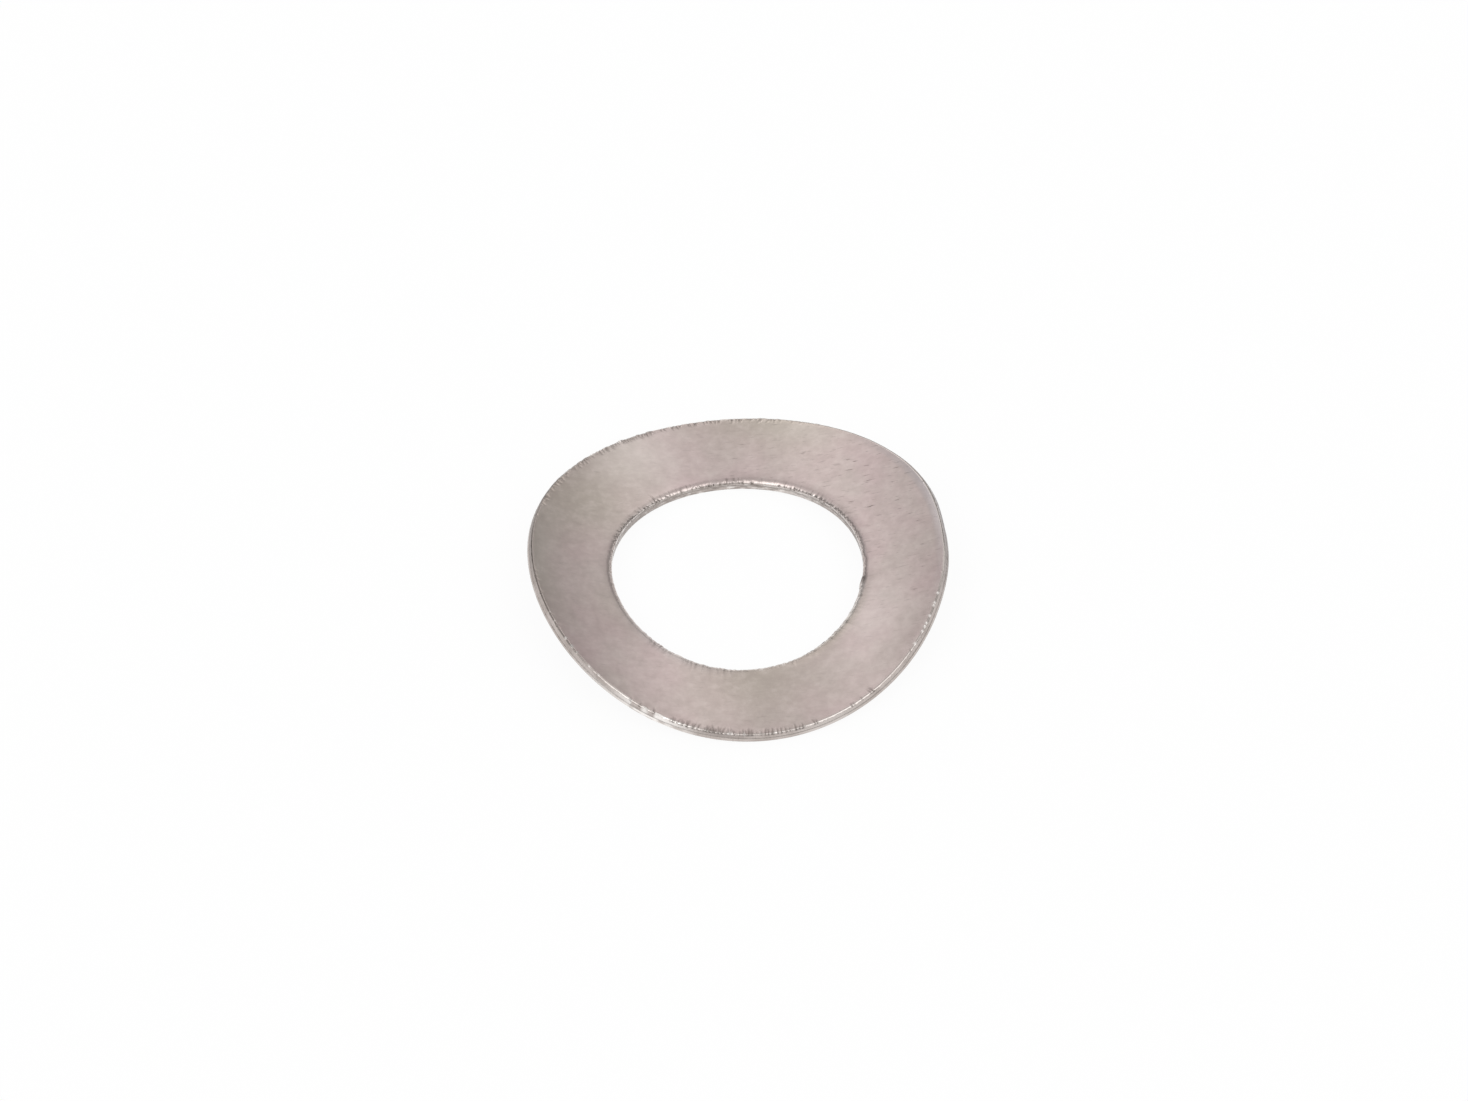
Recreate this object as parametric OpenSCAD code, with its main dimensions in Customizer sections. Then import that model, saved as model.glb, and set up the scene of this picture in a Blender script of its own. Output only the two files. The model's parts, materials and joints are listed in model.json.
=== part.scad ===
// Curved spring washer: a flat ring stamped from sheet steel and bent to one arc.
// It lies on its belly with two ends raised. The bore's axis is Z and the arc runs along X.
// All sizes are in millimetres.

/* [Blank] */
// Outside diameter of the flat ring, before it is bent
outer_d = 18; // [14:0.1:30]
// Diameter of the bore that the bolt passes through
bore_d = 10.55; // [6:0.05:15]
// Thickness of the sheet
sheet_t = 0.5; // [0.3:0.05:1.5]

/* [Bend] */
// Radius of the arc at the middle of the sheet
bend_r = 21.1; // [12:0.1:80]

/* [Edges] */
// Width of the rounding on the side where the punch entered
roll_w = 0.27; // [0.1:0.01:0.8]
// Depth of that rounding
roll_depth = 0.1; // [0.02:0.01:0.12]
// Width of the small break on the side where the punch came out
break_w = 0.04; // [0.01:0.01:0.15]
// How far the torn half of the rim's wall leans in towards the upper face
tear_lean = 0.035; // [0.005:0.005:0.1]

/* [Hidden] */

outer_r = outer_d / 2;
bore_r = bore_d / 2;
half_t = sheet_t / 2;

// The underside touches the ground along its lowest line, so the centre of the arc is this high.
arc_z = bend_r + half_t;

// The rounding never takes more than a quarter of the sheet.
roll_drop = min(roll_depth, sheet_t / 4);

// Stock that the ring carries inside the bore until the bore is cut.
bore_stock = 0.05;

// Steps round the ring, along each rounding and across each face.
ring_steps = 120;
roll_steps = 5;
face_steps = 6;

steel = "#b7aaa4";

function between(a, b, share) = a + (b - a) * share;

// Points from one place on the section to another, without the first of them.
function run(from, to, steps) = [for (i = [1:steps]) between(from, to, i / steps)];

// Height lost to the rounding at a distance inside its end, where it runs out into the face.
function roll_fall(inside) = roll_drop * pow(inside / roll_w, 2);

// Section of the ring as [radius, height over the middle of the sheet], in order round its outline.
// Piercing rounds the bore's upper edge and blanking rounds the rim's lower edge.
// Above the middle of the sheet the rim's wall is torn and leans in.
bore_roll = [for (i = [0:roll_steps])
    let(inside = between(roll_w + bore_stock, 0, i / roll_steps))
    [bore_r + roll_w - inside, half_t - roll_fall(inside)]];
torn_r = outer_r - tear_lean;
upper_face = run([bore_r + roll_w, half_t], [torn_r - break_w, half_t], face_steps);
rim_torn = [[torn_r, half_t - break_w], [outer_r, 0]];
rim_roll = [for (i = [0:roll_steps])
    let(inside = between(roll_w, 0, i / roll_steps))
    [outer_r - roll_w + inside, roll_fall(inside) - half_t]];
lower_face = run([outer_r - roll_w, -half_t], [bore_r + break_w, -half_t], face_steps);
bore_break = [[bore_r - bore_stock, break_w + bore_stock - half_t]];
section = concat(bore_roll, upper_face, rim_torn, rim_roll, lower_face, bore_break);

// A point of the section at one angle round the ring, after bending. The rim stays square to the sheet,
// and the bore runs straight along its axis: across the ring the one passes into the other.
function bent(spot, angle) =
    let(
        radius = spot[0],
        arc_r = bend_r - spot[1],
        reach = radius * cos(angle),
        turn_bore = asin(reach / arc_r),
        turn_rim = reach / bend_r * 180 / PI,
        turn = between(turn_bore, turn_rim, (radius - bore_r) / (outer_r - bore_r))
    )
    [arc_r * sin(turn), radius * sin(angle), arc_z - arc_r * cos(turn)];

// The section carried round the ring as a closed skin.
module bent_ring() {
    spots = len(section);
    points = [for (i = [0:ring_steps - 1], spot = section) bent(spot, i * 360 / ring_steps)];
    faces = [for (i = [0:ring_steps - 1], j = [0:spots - 1])
        let(
            here = i * spots,
            next = (i + 1) % ring_steps * spots,
            k = (j + 1) % spots
        )
        each [[here + j, next + k, here + k], [here + j, next + j, next + k]]];
    polyhedron(points, faces);
}

// The bore, straight along Z, long enough for the raised ends.
module bore() {
    depth = 2 * outer_r;
    rotate(45)
    translate([0, 0, -depth / 2])
    cylinder(h = depth, r = bore_r, $fn = ring_steps);
}

module spring_washer() {
    color(steel)
    difference() {
        bent_ring();
        bore();
    }
}

spring_washer();
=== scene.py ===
# %% [markdown]
# # A curved spring washer
# The real washer is one ring, stamped from thin sheet steel and bent to a single arc, so that its two
# ends stand up. The CAD model holds its exact size, and is loaded first so that all below can be held
# against it. This lesson gives the ring what the eye looks for up close: the rolled and torn edges that
# a press leaves, the small nicks along them, and the satin of tumbled steel.

# %% Load the frame
import json
import math

import bpy
import numpy as np
from mathutils import Matrix, Vector


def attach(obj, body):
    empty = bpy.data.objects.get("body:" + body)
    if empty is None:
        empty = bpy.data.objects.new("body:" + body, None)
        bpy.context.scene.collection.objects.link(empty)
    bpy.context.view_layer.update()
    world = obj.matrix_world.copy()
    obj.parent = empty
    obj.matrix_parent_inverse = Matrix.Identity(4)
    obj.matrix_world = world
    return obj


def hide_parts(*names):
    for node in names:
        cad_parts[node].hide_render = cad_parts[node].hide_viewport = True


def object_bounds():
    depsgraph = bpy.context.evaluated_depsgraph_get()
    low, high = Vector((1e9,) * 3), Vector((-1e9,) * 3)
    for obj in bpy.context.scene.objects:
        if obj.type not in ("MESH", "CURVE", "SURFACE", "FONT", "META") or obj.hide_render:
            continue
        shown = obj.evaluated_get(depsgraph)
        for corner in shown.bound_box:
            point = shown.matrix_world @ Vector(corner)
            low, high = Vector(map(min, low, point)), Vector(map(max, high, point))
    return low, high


MM = 0.001
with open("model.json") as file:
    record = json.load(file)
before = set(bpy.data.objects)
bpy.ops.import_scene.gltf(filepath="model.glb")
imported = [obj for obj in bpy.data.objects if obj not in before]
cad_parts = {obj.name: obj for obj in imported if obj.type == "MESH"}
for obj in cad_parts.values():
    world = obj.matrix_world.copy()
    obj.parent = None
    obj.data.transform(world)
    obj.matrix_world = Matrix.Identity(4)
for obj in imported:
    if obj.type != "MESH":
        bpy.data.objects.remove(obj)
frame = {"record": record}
cad_low, cad_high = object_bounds()
print("CAD box in mm:", [round(v / MM, 3) for v in cad_high - cad_low])

# %% [markdown]
# ## The view
# The washer was photographed from the front, looking down on it at about 48 degrees and turned by about
# 10 degrees, from far enough away that its near and far sides keep almost the same scale. The camera
# could be placed by eye, but measured values are surer: the turn, the tilt, the distance, the scale and
# the place of the ring's centre in the picture.

# %% Camera
PHOTO_W = 1468
PHOTO_H = 1101
CENTRE_X_PX = 737.4
CENTRE_Y_PX = 577.9
PX_PER_MM = 23.78
VIEW_TURN = math.radians(9.8)
VIEW_TILT = math.radians(47.7)
CAMERA_FAR = 316 * MM
SENSOR_W = 36
CLIP_START = 0.01
SHEET_T = 0.5
HALF_T = SHEET_T / 2

right = Vector((math.cos(VIEW_TURN), -math.sin(VIEW_TURN), 0))
away = Vector((math.sin(VIEW_TURN), math.cos(VIEW_TURN), 0))
back = -away * math.cos(VIEW_TILT) + Vector((0, 0, math.sin(VIEW_TILT)))
up = back.cross(right)

px = MM / PX_PER_MM
centre_across = CENTRE_X_PX - PHOTO_W / 2
centre_down = CENTRE_Y_PX - PHOTO_H / 2
ring_centre = Vector((0, 0, HALF_T * MM))
aim = ring_centre - right * centre_across * px + up * centre_down * px

camera_data = bpy.data.cameras.new("camera")
camera_data.sensor_width = SENSOR_W
camera_data.sensor_fit = "HORIZONTAL"
camera_data.lens = SENSOR_W * CAMERA_FAR / (PHOTO_W * px)
camera_data.clip_start = CLIP_START
camera = bpy.data.objects.new("camera", camera_data)
camera_turn = Matrix((right, up, back)).transposed().to_4x4()
camera.matrix_world = Matrix.Translation(aim + back * CAMERA_FAR) @ camera_turn
bpy.context.scene.collection.objects.link(camera)
bpy.context.scene.camera = camera
print("Lens in mm:", round(camera_data.lens, 1))

# %% [markdown]
# ## The section of the ring
# A press cuts sheet in two stages. The punch first draws the surface down, which leaves a rounded edge
# and a smooth, burnished wall, and then the rest of the wall tears and leans away from the cut. A plain
# extruded ring with a bevel would miss this, so the section is drawn as a chain of short runs, each
# with its own stretch of surface. Two shares go with each spot: how torn the steel is there, and how
# far tumbling has polished it. All lengths are in millimetres, and heights count from the middle of the
# sheet.

# %% Section helpers
FACE = 0
CUT = 1
section = []


def add_run(name, slot, run_radii, run_heights, tear=0.0, shine=0.0):
    """Adds a run of spots to the section, without its last one, which the next run starts with."""
    count = len(run_radii) - 1
    tears = np.broadcast_to(tear, count + 1)
    shines = np.broadcast_to(shine, count + 1)
    for k in range(count):
        section.append((name, slot, run_radii[k], run_heights[k], tears[k], shines[k]))


def straight(start, end, steps):
    """Evenly spaced values from start to end."""
    return np.linspace(start, end, steps + 1)


def quarter(steps):
    """Sines and cosines of evenly spaced angles over a quarter turn."""
    turns = np.linspace(0, math.pi / 2, steps + 1)
    return np.sin(turns), np.cos(turns)


# %% [markdown]
# ## The rolled edge of the bore
# The bore was pierced from above, so its upper edge is drawn down into a rounding that ends in a small
# arris. A bevel's arc would be too even: a real roll starts flat and steepens towards the wall. It is
# drawn as a straight fall with a power curve added, with its spots closer together where it is steep.

# %% Rolled edge of the bore
BORE_R = frame["record"]["mounts"][0]["dims"]["r_mm"]
ROLL_W = 0.27
ROLL_DEPTH = 0.1
ROLL_START = 0.2
ROLL_POWER = 2.8
BORE_ARRIS_R = 0.03
BORE_ARRIS_STEPS = 3
ROLL_SHINE_POWER = 3

roll_share = np.array([1, 0.93, 0.85, 0.75, 0.6, 0.35, 0])
roll_fall = ROLL_START * roll_share + (1 - ROLL_START) * roll_share ** ROLL_POWER
roll_slope = math.atan(ROLL_DEPTH / ROLL_W * (ROLL_START + ROLL_POWER * (1 - ROLL_START)))
arris_turn = straight(math.pi / 2, roll_slope, BORE_ARRIS_STEPS)
arris_in = BORE_ARRIS_R * (1 - np.sin(arris_turn))
arris_drop = ROLL_DEPTH + BORE_ARRIS_R * (np.cos(roll_slope) - np.cos(arris_turn))
add_run("bore_edge", FACE, BORE_R + arris_in, HALF_T - arris_drop, shine=1.0)

roll_r = BORE_R + ROLL_W - (ROLL_W - arris_in[-1]) * roll_share
add_run("bore_roll", FACE, roll_r, HALF_T - ROLL_DEPTH * roll_fall, shine=roll_share ** ROLL_SHINE_POWER)
print("Roll meets the wall at", round(math.degrees(roll_slope)), "degrees")

# %% [markdown]
# ## The upper face
# The face is plain flat sheet, and needs few spots away from the rim. Near the rim it has more, because
# nicks and sags reach in there. Tumbling has broken the sharp upper edge of the rim into a narrow
# facet. A bevel could make it, but as a run of its own the facet can take marks of its own.

# %% Upper face
OUTER_R = cad_high.y / MM
RIM_ZONE = 0.46
RIM_ZONE_STEPS = 7
RIM_LEAN = 0.015
FACET = 0.05

face_start = BORE_R + ROLL_W
face_end = OUTER_R - RIM_ZONE
face_r = face_start + (face_end - face_start) * np.array([0, 0.1, 0.3, 0.65, 1])
add_run("upper_face", FACE, face_r, np.full_like(face_r, HALF_T))
facet_start = OUTER_R - RIM_LEAN - FACET
zone_r = straight(face_end, facet_start, RIM_ZONE_STEPS)
add_run("rim_zone", FACE, zone_r, np.full_like(zone_r, HALF_T))
facet_in = FACET * np.array([0, 0.15, 0.5, 0.85, 1])
add_run("rim_facet", CUT, facet_start + facet_in, HALF_T - facet_in, shine=1.0)
print("Upper face from radius", round(face_start, 3), "to", round(facet_start, 3))

# %% [markdown]
# ## The wall of the rim
# The ring was blanked from below, so the wall of its rim is torn on top and rounded underneath. The
# torn half leans in, and a shallow groove parts it from the burnished half. A straight wall would be
# simpler, but the lean and the groove are what make the edge look cut.

# %% Wall of the rim
TORN_STEPS = 4
TEAR_DEPTH = 0.018
TEAR_HALF = 0.018
TEAR_STEPS = 2
HALF_TORN = 0.5
BURNISH_STEPS = 2
RIM_ROLL_STEPS = 3

leaning_r = straight(OUTER_R - RIM_LEAN, OUTER_R, TORN_STEPS)
add_run("rim_torn", CUT, leaning_r, straight(HALF_T - FACET, TEAR_HALF, TORN_STEPS), tear=1.0)
groove_r = np.array([OUTER_R, OUTER_R - TEAR_DEPTH, OUTER_R])
add_run("rim_tear", CUT, groove_r, straight(TEAR_HALF, -TEAR_HALF, TEAR_STEPS), tear=HALF_TORN)
burnish_z = straight(-TEAR_HALF, ROLL_DEPTH - HALF_T, BURNISH_STEPS)
add_run("rim_burnish", CUT, np.full_like(burnish_z, OUTER_R), burnish_z)
sine, cosine = quarter(RIM_ROLL_STEPS)
add_run("rim_roll", CUT, OUTER_R - ROLL_W * (1 - cosine), -HALF_T + ROLL_DEPTH * (1 - sine))
print("Section so far:", len(section), "spots")

# %% [markdown]
# ## The underside and the wall of the bore
# The underside can't be seen in the photo, and is taken as plain sheet. The bore's wall is the rim's
# wall turned over: torn below, where the punch came out, then a groove, then burnished up to the rolled
# edge. The last run ends where the first one starts, so the section closes.

# %% Underside and wall of the bore
LOW_ARRIS_R = 0.02
LOW_ARRIS_STEPS = 2
LOW_FACE_STEPS = 2
BORE_LEAN = 0.02
BORE_TORN_STEPS = 3
BORE_BURNISH_STEPS = 3

low_start = BORE_R + BORE_LEAN + LOW_ARRIS_R
low_r = straight(OUTER_R - ROLL_W, low_start, LOW_FACE_STEPS)
add_run("lower_face", FACE, low_r, np.full_like(low_r, -HALF_T))
sine, cosine = quarter(LOW_ARRIS_STEPS)
low_arris_z = -HALF_T + LOW_ARRIS_R * (1 - cosine)
add_run("bore_arris", CUT, low_start - LOW_ARRIS_R * sine, low_arris_z, tear=HALF_TORN)
leaning_r = straight(BORE_R + BORE_LEAN, BORE_R, BORE_TORN_STEPS)
leaning_z = straight(LOW_ARRIS_R - HALF_T, -TEAR_HALF, BORE_TORN_STEPS)
add_run("bore_torn", CUT, leaning_r, leaning_z, tear=1.0)
groove_r = np.array([BORE_R, BORE_R + TEAR_DEPTH, BORE_R])
add_run("bore_tear", CUT, groove_r, straight(-TEAR_HALF, TEAR_HALF, TEAR_STEPS), tear=HALF_TORN)
burnish_z = straight(TEAR_HALF, HALF_T - arris_drop[0], BORE_BURNISH_STEPS)
add_run("bore_burnish", CUT, np.full_like(burnish_z, BORE_R), burnish_z)

run_name, run_slot, radius, height, torn, polish = (np.array(column) for column in zip(*section))
print("Section:", len(section), "spots in", len(set(run_name)), "runs")

# %% [markdown]
# ## A place on the flat ring
# The press worked on a flat ring, and the bend came last. So every mark below is worked out on the flat
# ring, where a place is an angle, a radius and a height. Sculpting or a texture could make such marks
# too. Arrays let each mark be placed by its angle and still be a true change of shape, and seeded
# random draws keep the ring the same in every run.

# %% Flat ring
RING_STEPS = 2100
SEED = 7
rng = np.random.default_rng(SEED)
angle = np.linspace(0, 2 * math.pi, RING_STEPS, endpoint=False)
radii = np.repeat(radius[None, :], RING_STEPS, axis=0)
heights = np.repeat(height[None, :], RING_STEPS, axis=0)
print("Flat ring:", radii.size, "places")


def angle_gap(at):
    """How far each step round the ring is from one angle, at most half a turn."""
    return (angle - at + math.pi) % (2 * math.pi) - math.pi


def window(at, half_width):
    """A smooth hump round the ring, 1 at the angle and 0 from half_width on, both in degrees."""
    rise = np.clip(1 - np.abs(angle_gap(math.radians(at))) / math.radians(half_width), 0, 1)
    return rise * rise * (3 - 2 * rise)


def stretches(humps):
    """The sum of several humps, each given by its angle, its half width and its weight."""
    return sum(weight * window(at, half_width) for at, half_width, weight in humps)


# %% [markdown]
# ## Sagging edges
# Where the cut went badly the rim's upper edge sags, and tumbling has rounded off the right-hand end.
# The bore's rounding is deeper at some angles than at others. A bevel would be even all round, so each
# drop is set by angle: full at the edge, and nothing from a set distance on.

# %% Sagging edge of the rim
ROUGH_STRETCHES = [
    (74, 34, 0.7),
    (116, 36, 1.2),
    (148, 14, 0.5),
    (250, 26, 1.0),
    (272, 16, 0.5),
    (298, 8, 0.25),
]
SAG_W = 0.28
SAG_DROP = 0.025
SOFT_END_AT = 2
SOFT_END_HALF = 26
SOFT_END_W = 0.38
SOFT_END_DROP = 0.05
FAR_OFF = 9.0
rough = stretches(ROUGH_STRETCHES)
on_rim_top = np.isin(run_name, ["rim_zone", "rim_facet"])
on_rim_torn = run_name == "rim_torn"
rim_inward = np.where(on_rim_top, OUTER_R - RIM_LEAN - radius, FAR_OFF)
top_share = np.where(on_rim_torn, height / HALF_T, on_rim_top * 1.0)


def round_off(drop, reach):
    """How far the top falls towards the rim: drop by angle at the rim, from reach on inwards nothing."""
    inside = np.where(on_rim_torn, 0.0, rim_inward)
    return drop[:, None] * np.clip(1 - inside / reach, 0, 1) ** 2 * top_share


heights -= round_off(SAG_DROP * rough, SAG_W)
heights -= round_off(SOFT_END_DROP * window(SOFT_END_AT, SOFT_END_HALF), SOFT_END_W)
print("Rim sags at", [at for at, half, weight in ROUGH_STRETCHES], "and", SOFT_END_AT, "degrees")

# %% Sagging edge of the bore
BORE_SAG = [(18, 50, 0.5), (132, 36, -1.0)]
BORE_SAG_DROP = 0.03
on_bore_top = np.isin(run_name, ["bore_roll", "bore_edge"])
bore_share = np.clip(1 - (radius - BORE_R) / ROLL_W, 0, 1) ** 2 * on_bore_top
heights -= BORE_SAG_DROP * stretches(BORE_SAG)[:, None] * bore_share
print("Bore sags or rises at", [at for at, half, weight in BORE_SAG], "degrees")

# %% [markdown]
# ## Nicks
# The cut edges are never clean. Short nicks run in over the face along the rim, most of all in its
# rough stretches, and others cross the rounding of the bore, so that its shine breaks into dashes. A
# bump texture would fade out at the silhouette, so they are dents in the mesh. Each nick has a width, a
# length, a depth and a slant of its own, and the depths are kept, because painted shade darkens the nicks.

# %% Nick helper
NICK_LEAST_SIZE = 0.6
NICK_STRENGTHS = (0.6, 1.0)
NICK_SLANT = 0.25
NICK_SIDE = 0.5
NICK_FADE_POWER = 0.7


def scatter_nicks(count, density, edge_r, inward, widths, lengths):
    """Depths from 0 to 1 of nicks that start at an edge and fade out over the spots' inward distances."""
    depth = np.zeros_like(heights)
    size = np.clip(NICK_LEAST_SIZE + (1 - NICK_LEAST_SIZE) * density, NICK_LEAST_SIZE, 1)
    for step in rng.choice(RING_STEPS, count, p=density / density.sum()):
        width = rng.uniform(*widths)
        length = rng.uniform(*lengths) * size[step]
        strength = rng.uniform(*NICK_STRENGTHS)
        slant = rng.normal(0, NICK_SLANT)
        gap = angle_gap(angle[step])
        near = np.abs(gap) * edge_r < NICK_SIDE
        across = gap[near, None] * edge_r - slant * inward[None, :]
        fade = np.clip(1 - inward / length, 0, 1) ** NICK_FADE_POWER
        depth[near] = np.maximum(depth[near], strength * fade * np.exp(-((across / width) ** 2)))
    return depth


# %% Nicks along the rim
RIM_NICKS = 260
RIM_NICK_DEPTH = 0.035
RIM_NICK_BASE = 0.03
RIM_NICK_WIDTHS = (0.033, 0.052)
RIM_NICK_LENGTHS = (0.16, 0.42)
WALL_FADE = 2.5
SMOOTH_RIM = [(20, 18, 1.0), (48, 32, 1.0)]
wall_down = np.where(on_rim_torn, WALL_FADE * (HALF_T - height), FAR_OFF)
rim_nick = scatter_nicks(
    RIM_NICKS,
    RIM_NICK_BASE + rough,
    OUTER_R,
    np.minimum(rim_inward, wall_down),
    RIM_NICK_WIDTHS,
    RIM_NICK_LENGTHS,
)
rim_nick *= np.clip(1 - stretches(SMOOTH_RIM), 0, 1)[:, None]
heights -= RIM_NICK_DEPTH * rim_nick * on_rim_top
radii -= RIM_NICK_DEPTH * rim_nick * on_rim_torn
print("Nicks on the rim:", RIM_NICKS)

# %% Nicks in the bore
BORE_NICKS = 110
BORE_NICK_DEPTH = 0.035
BORE_NICK_BASE = 0.6
BORE_NICKED = [(84, 22, 2.0)]
BORE_NICK_WIDTHS = (0.025, 0.06)
BORE_NICK_LENGTHS = (0.08, 0.2)
on_bore_wall = np.isin(run_name, ["bore_burnish", "bore_edge"])
from_arris = np.abs(radius - BORE_R) + np.abs(height - (HALF_T - ROLL_DEPTH))
bore_nick = scatter_nicks(
    BORE_NICKS,
    BORE_NICK_BASE + stretches(BORE_NICKED),
    BORE_R,
    np.where(on_bore_top | on_bore_wall, from_arris, FAR_OFF),
    BORE_NICK_WIDTHS,
    BORE_NICK_LENGTHS,
)
heights -= BORE_NICK_DEPTH * bore_nick * on_bore_top
radii += BORE_NICK_DEPTH * bore_nick * on_bore_wall
print("Nicks in the bore:", BORE_NICKS)

# %% [markdown]
# ## Burr, waves and streaks
# A thin broken burr stands along the rim's upper edge where the punch came out. The rolled edge of the
# bore waves a little, and tearing leaves fine upright streaks on both walls. Smooth noise that closes
# round the ring gives all three, each with the width that the photo shows.

# %% Burr along the rim
rim_step = OUTER_R * 2 * math.pi / RING_STEPS


def round_noise(columns, width_mm):
    """Smooth random values that close round the ring, about width_mm wide at the rim, with spread 1."""
    waves = np.fft.rfftfreq(RING_STEPS)
    blur = np.exp(-2 * (math.pi * waves * width_mm / rim_step) ** 2)
    raw = np.fft.rfft(rng.standard_normal((RING_STEPS, columns)), axis=0)
    smooth = np.fft.irfft(raw * blur[:, None], RING_STEPS, axis=0)
    return smooth / smooth.std()


def near_rim(reach):
    """A share that is 1 at the rim's upper edge and fades inwards over about the given reach."""
    return np.exp(-((rim_inward / reach) ** 2))


BURR_HEIGHT = 0.028
BURR_W = 0.1
BURR_FROM = 0.2
BURR_MOST = 1.6
BURR_BASE = 0.2
BURR_REACH = 0.05
burr = np.clip(round_noise(1, BURR_W) - BURR_FROM, 0, BURR_MOST)
heights += burr * BURR_HEIGHT * (BURR_BASE + rough)[:, None] * near_rim(BURR_REACH)
print("Burr up to", round(burr.max() * BURR_HEIGHT, 3), "mm for each unit of roughness")

# %% Waves and streaks
WAVE_HEIGHT = 0.012
LONG_WAVE = 0.6
LONG_WAVE_W = 0.3
SHORT_WAVE = 0.8
SHORT_WAVE_W = 0.06
wave = LONG_WAVE * round_noise(1, LONG_WAVE_W) + SHORT_WAVE * round_noise(1, SHORT_WAVE_W)
heights += WAVE_HEIGHT * wave * polish * on_bore_top

STREAK_DEPTH = 0.005
TALL_STREAK_W = 0.04
SHORT_STREAK = 0.6
SHORT_STREAK_W = 0.06
tall_streaks = np.abs(round_noise(1, TALL_STREAK_W))
short_streaks = np.abs(round_noise(len(section), SHORT_STREAK_W))
streaks = tall_streaks + SHORT_STREAK * short_streaks
on_rim = np.char.startswith(run_name, "rim")
into_steel = np.where(on_rim, -1.0, 1.0)
radii += STREAK_DEPTH * streaks * torn * into_steel
print("Streaks up to", round(STREAK_DEPTH * streaks.max(), 3), "mm deep")

# %% [markdown]
# ## Single flaws
# The photo shows a few flaws that are large enough to find one by one: a small spur of steel that
# stands into the bore at the near right, a worn foot of the wall at the left, a burr under the far left
# of the bore, a near edge of the bore that sags more widely, and a rim that is not quite round. Each
# could be sculpted. A hump round the ring, times a share across the section, does the same with a few
# values that can be read.

# %% Spur and worn foot
SPUR_AT = -20.5
SPUR_HALF = 6
SPUR_OUT = 0.07
SPUR_MIDDLE = 0.05
SPUR_SPREAD = 0.14
SPUR_ZONE = 0.1
spur = window(SPUR_AT, SPUR_HALF)[:, None] * np.exp(-(((height - SPUR_MIDDLE) / SPUR_SPREAD) ** 2))
radii -= SPUR_OUT * spur * (radius < BORE_R + SPUR_ZONE)

FOOT_AT = 206
FOOT_HALF = 48
FOOT_WEAR = 0.07
foot = np.clip(-height / HALF_T, 0, 1) ** 2 * np.isin(run_name, ["rim_burnish", "rim_roll"])
radii -= FOOT_WEAR * window(FOOT_AT, FOOT_HALF)[:, None] * foot
print("Spur in the bore at", SPUR_AT, "and a worn foot of the wall at", FOOT_AT, "degrees")

# %% Uneven rim and bore
RIM_OUTLINE = [(14, 22, 0.085), (346, 16, 0.05), (52, 34, -0.08), (130, 24, -0.05)]
rim_share = np.clip(1 - (OUTER_R - radius) / RIM_ZONE, 0, 1)
radii += stretches(RIM_OUTLINE)[:, None] * rim_share

BORE_BURR = [(150, 46, 0.05)]
burr_share = np.clip(-height / HALF_T, 0, 1) * np.isin(run_name, ["bore_arris", "bore_torn"])
heights -= stretches(BORE_BURR)[:, None] * burr_share

NEAR_SAG = [(304, 36, 0.05)]
NEAR_SAG_W = 0.45
on_top = (run_slot == FACE) & (height > 0)
near_share = np.clip(1 - (radius - BORE_R) / NEAR_SAG_W, 0, 1) ** 2 * on_top
heights -= stretches(NEAR_SAG)[:, None] * near_share
print("Rim out of round at", [at for at, half, weight in RIM_OUTLINE], "degrees")

# %% [markdown]
# ## Painted highlights and specks
# Some glints and pale stretches are painted into the colour. A stretch of the rim's wall at the near
# left is freshly burnished and carries a painted highlight broken into blocks, the wall's foot there
# and a stretch at the near right get painted pale light, and painted glint specks and a row of burr
# dots line the rim. The bore's wall has a painted pale stretch and random pale marks, and its rounded
# edge gets a painted glint at both sides. Lights alone would move these with the view, so each place
# keeps a share of painted highlight for the shaders. The specks also stand up a little.

# %% Painted highlights on the wall
# Painted highlight on the burnished wall at the near left, broken into blocks; painted pale light on the
# wall at the near right, on the bore's wall at the far right and on the wall's foot at the near left.
RIM_PAINTED_HIGHLIGHT = [(236, 17, 1.15)]
RIM_PAINTED_PALE = [(286, 16, 0.25)]
BORE_PAINTED_PALE = [(52, 25, 0.3)]
FOOT_PAINTED_HIGHLIGHT = [(223, 15, 0.5)]
BLOCK_W = 0.2
BLOCK_MIDDLE = 1.1
BLOCK_SPREAD = 1.3
upper, lower = np.clip(BLOCK_MIDDLE + BLOCK_SPREAD * round_noise(2, BLOCK_W), 0, 1).T
blocks = np.where(run_name == "rim_burnish", lower[:, None], upper[:, None])
on_wall = run_slot == CUT
on_foot = np.isin(run_name, ["rim_tear", "rim_burnish", "rim_roll"])
rim_painted_highlight = np.clip(stretches(RIM_PAINTED_HIGHLIGHT), 0, 1)[:, None] * blocks + stretches(RIM_PAINTED_PALE)[:, None]
wall_painted_highlight = (rim_painted_highlight * on_rim + stretches(BORE_PAINTED_PALE)[:, None] * ~on_rim) * on_wall
foot_painted_highlight = stretches(FOOT_PAINTED_HIGHLIGHT)[:, None] * on_foot
print("Bright wall at", [at for at, half, weight in RIM_PAINTED_HIGHLIGHT], "degrees")

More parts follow.
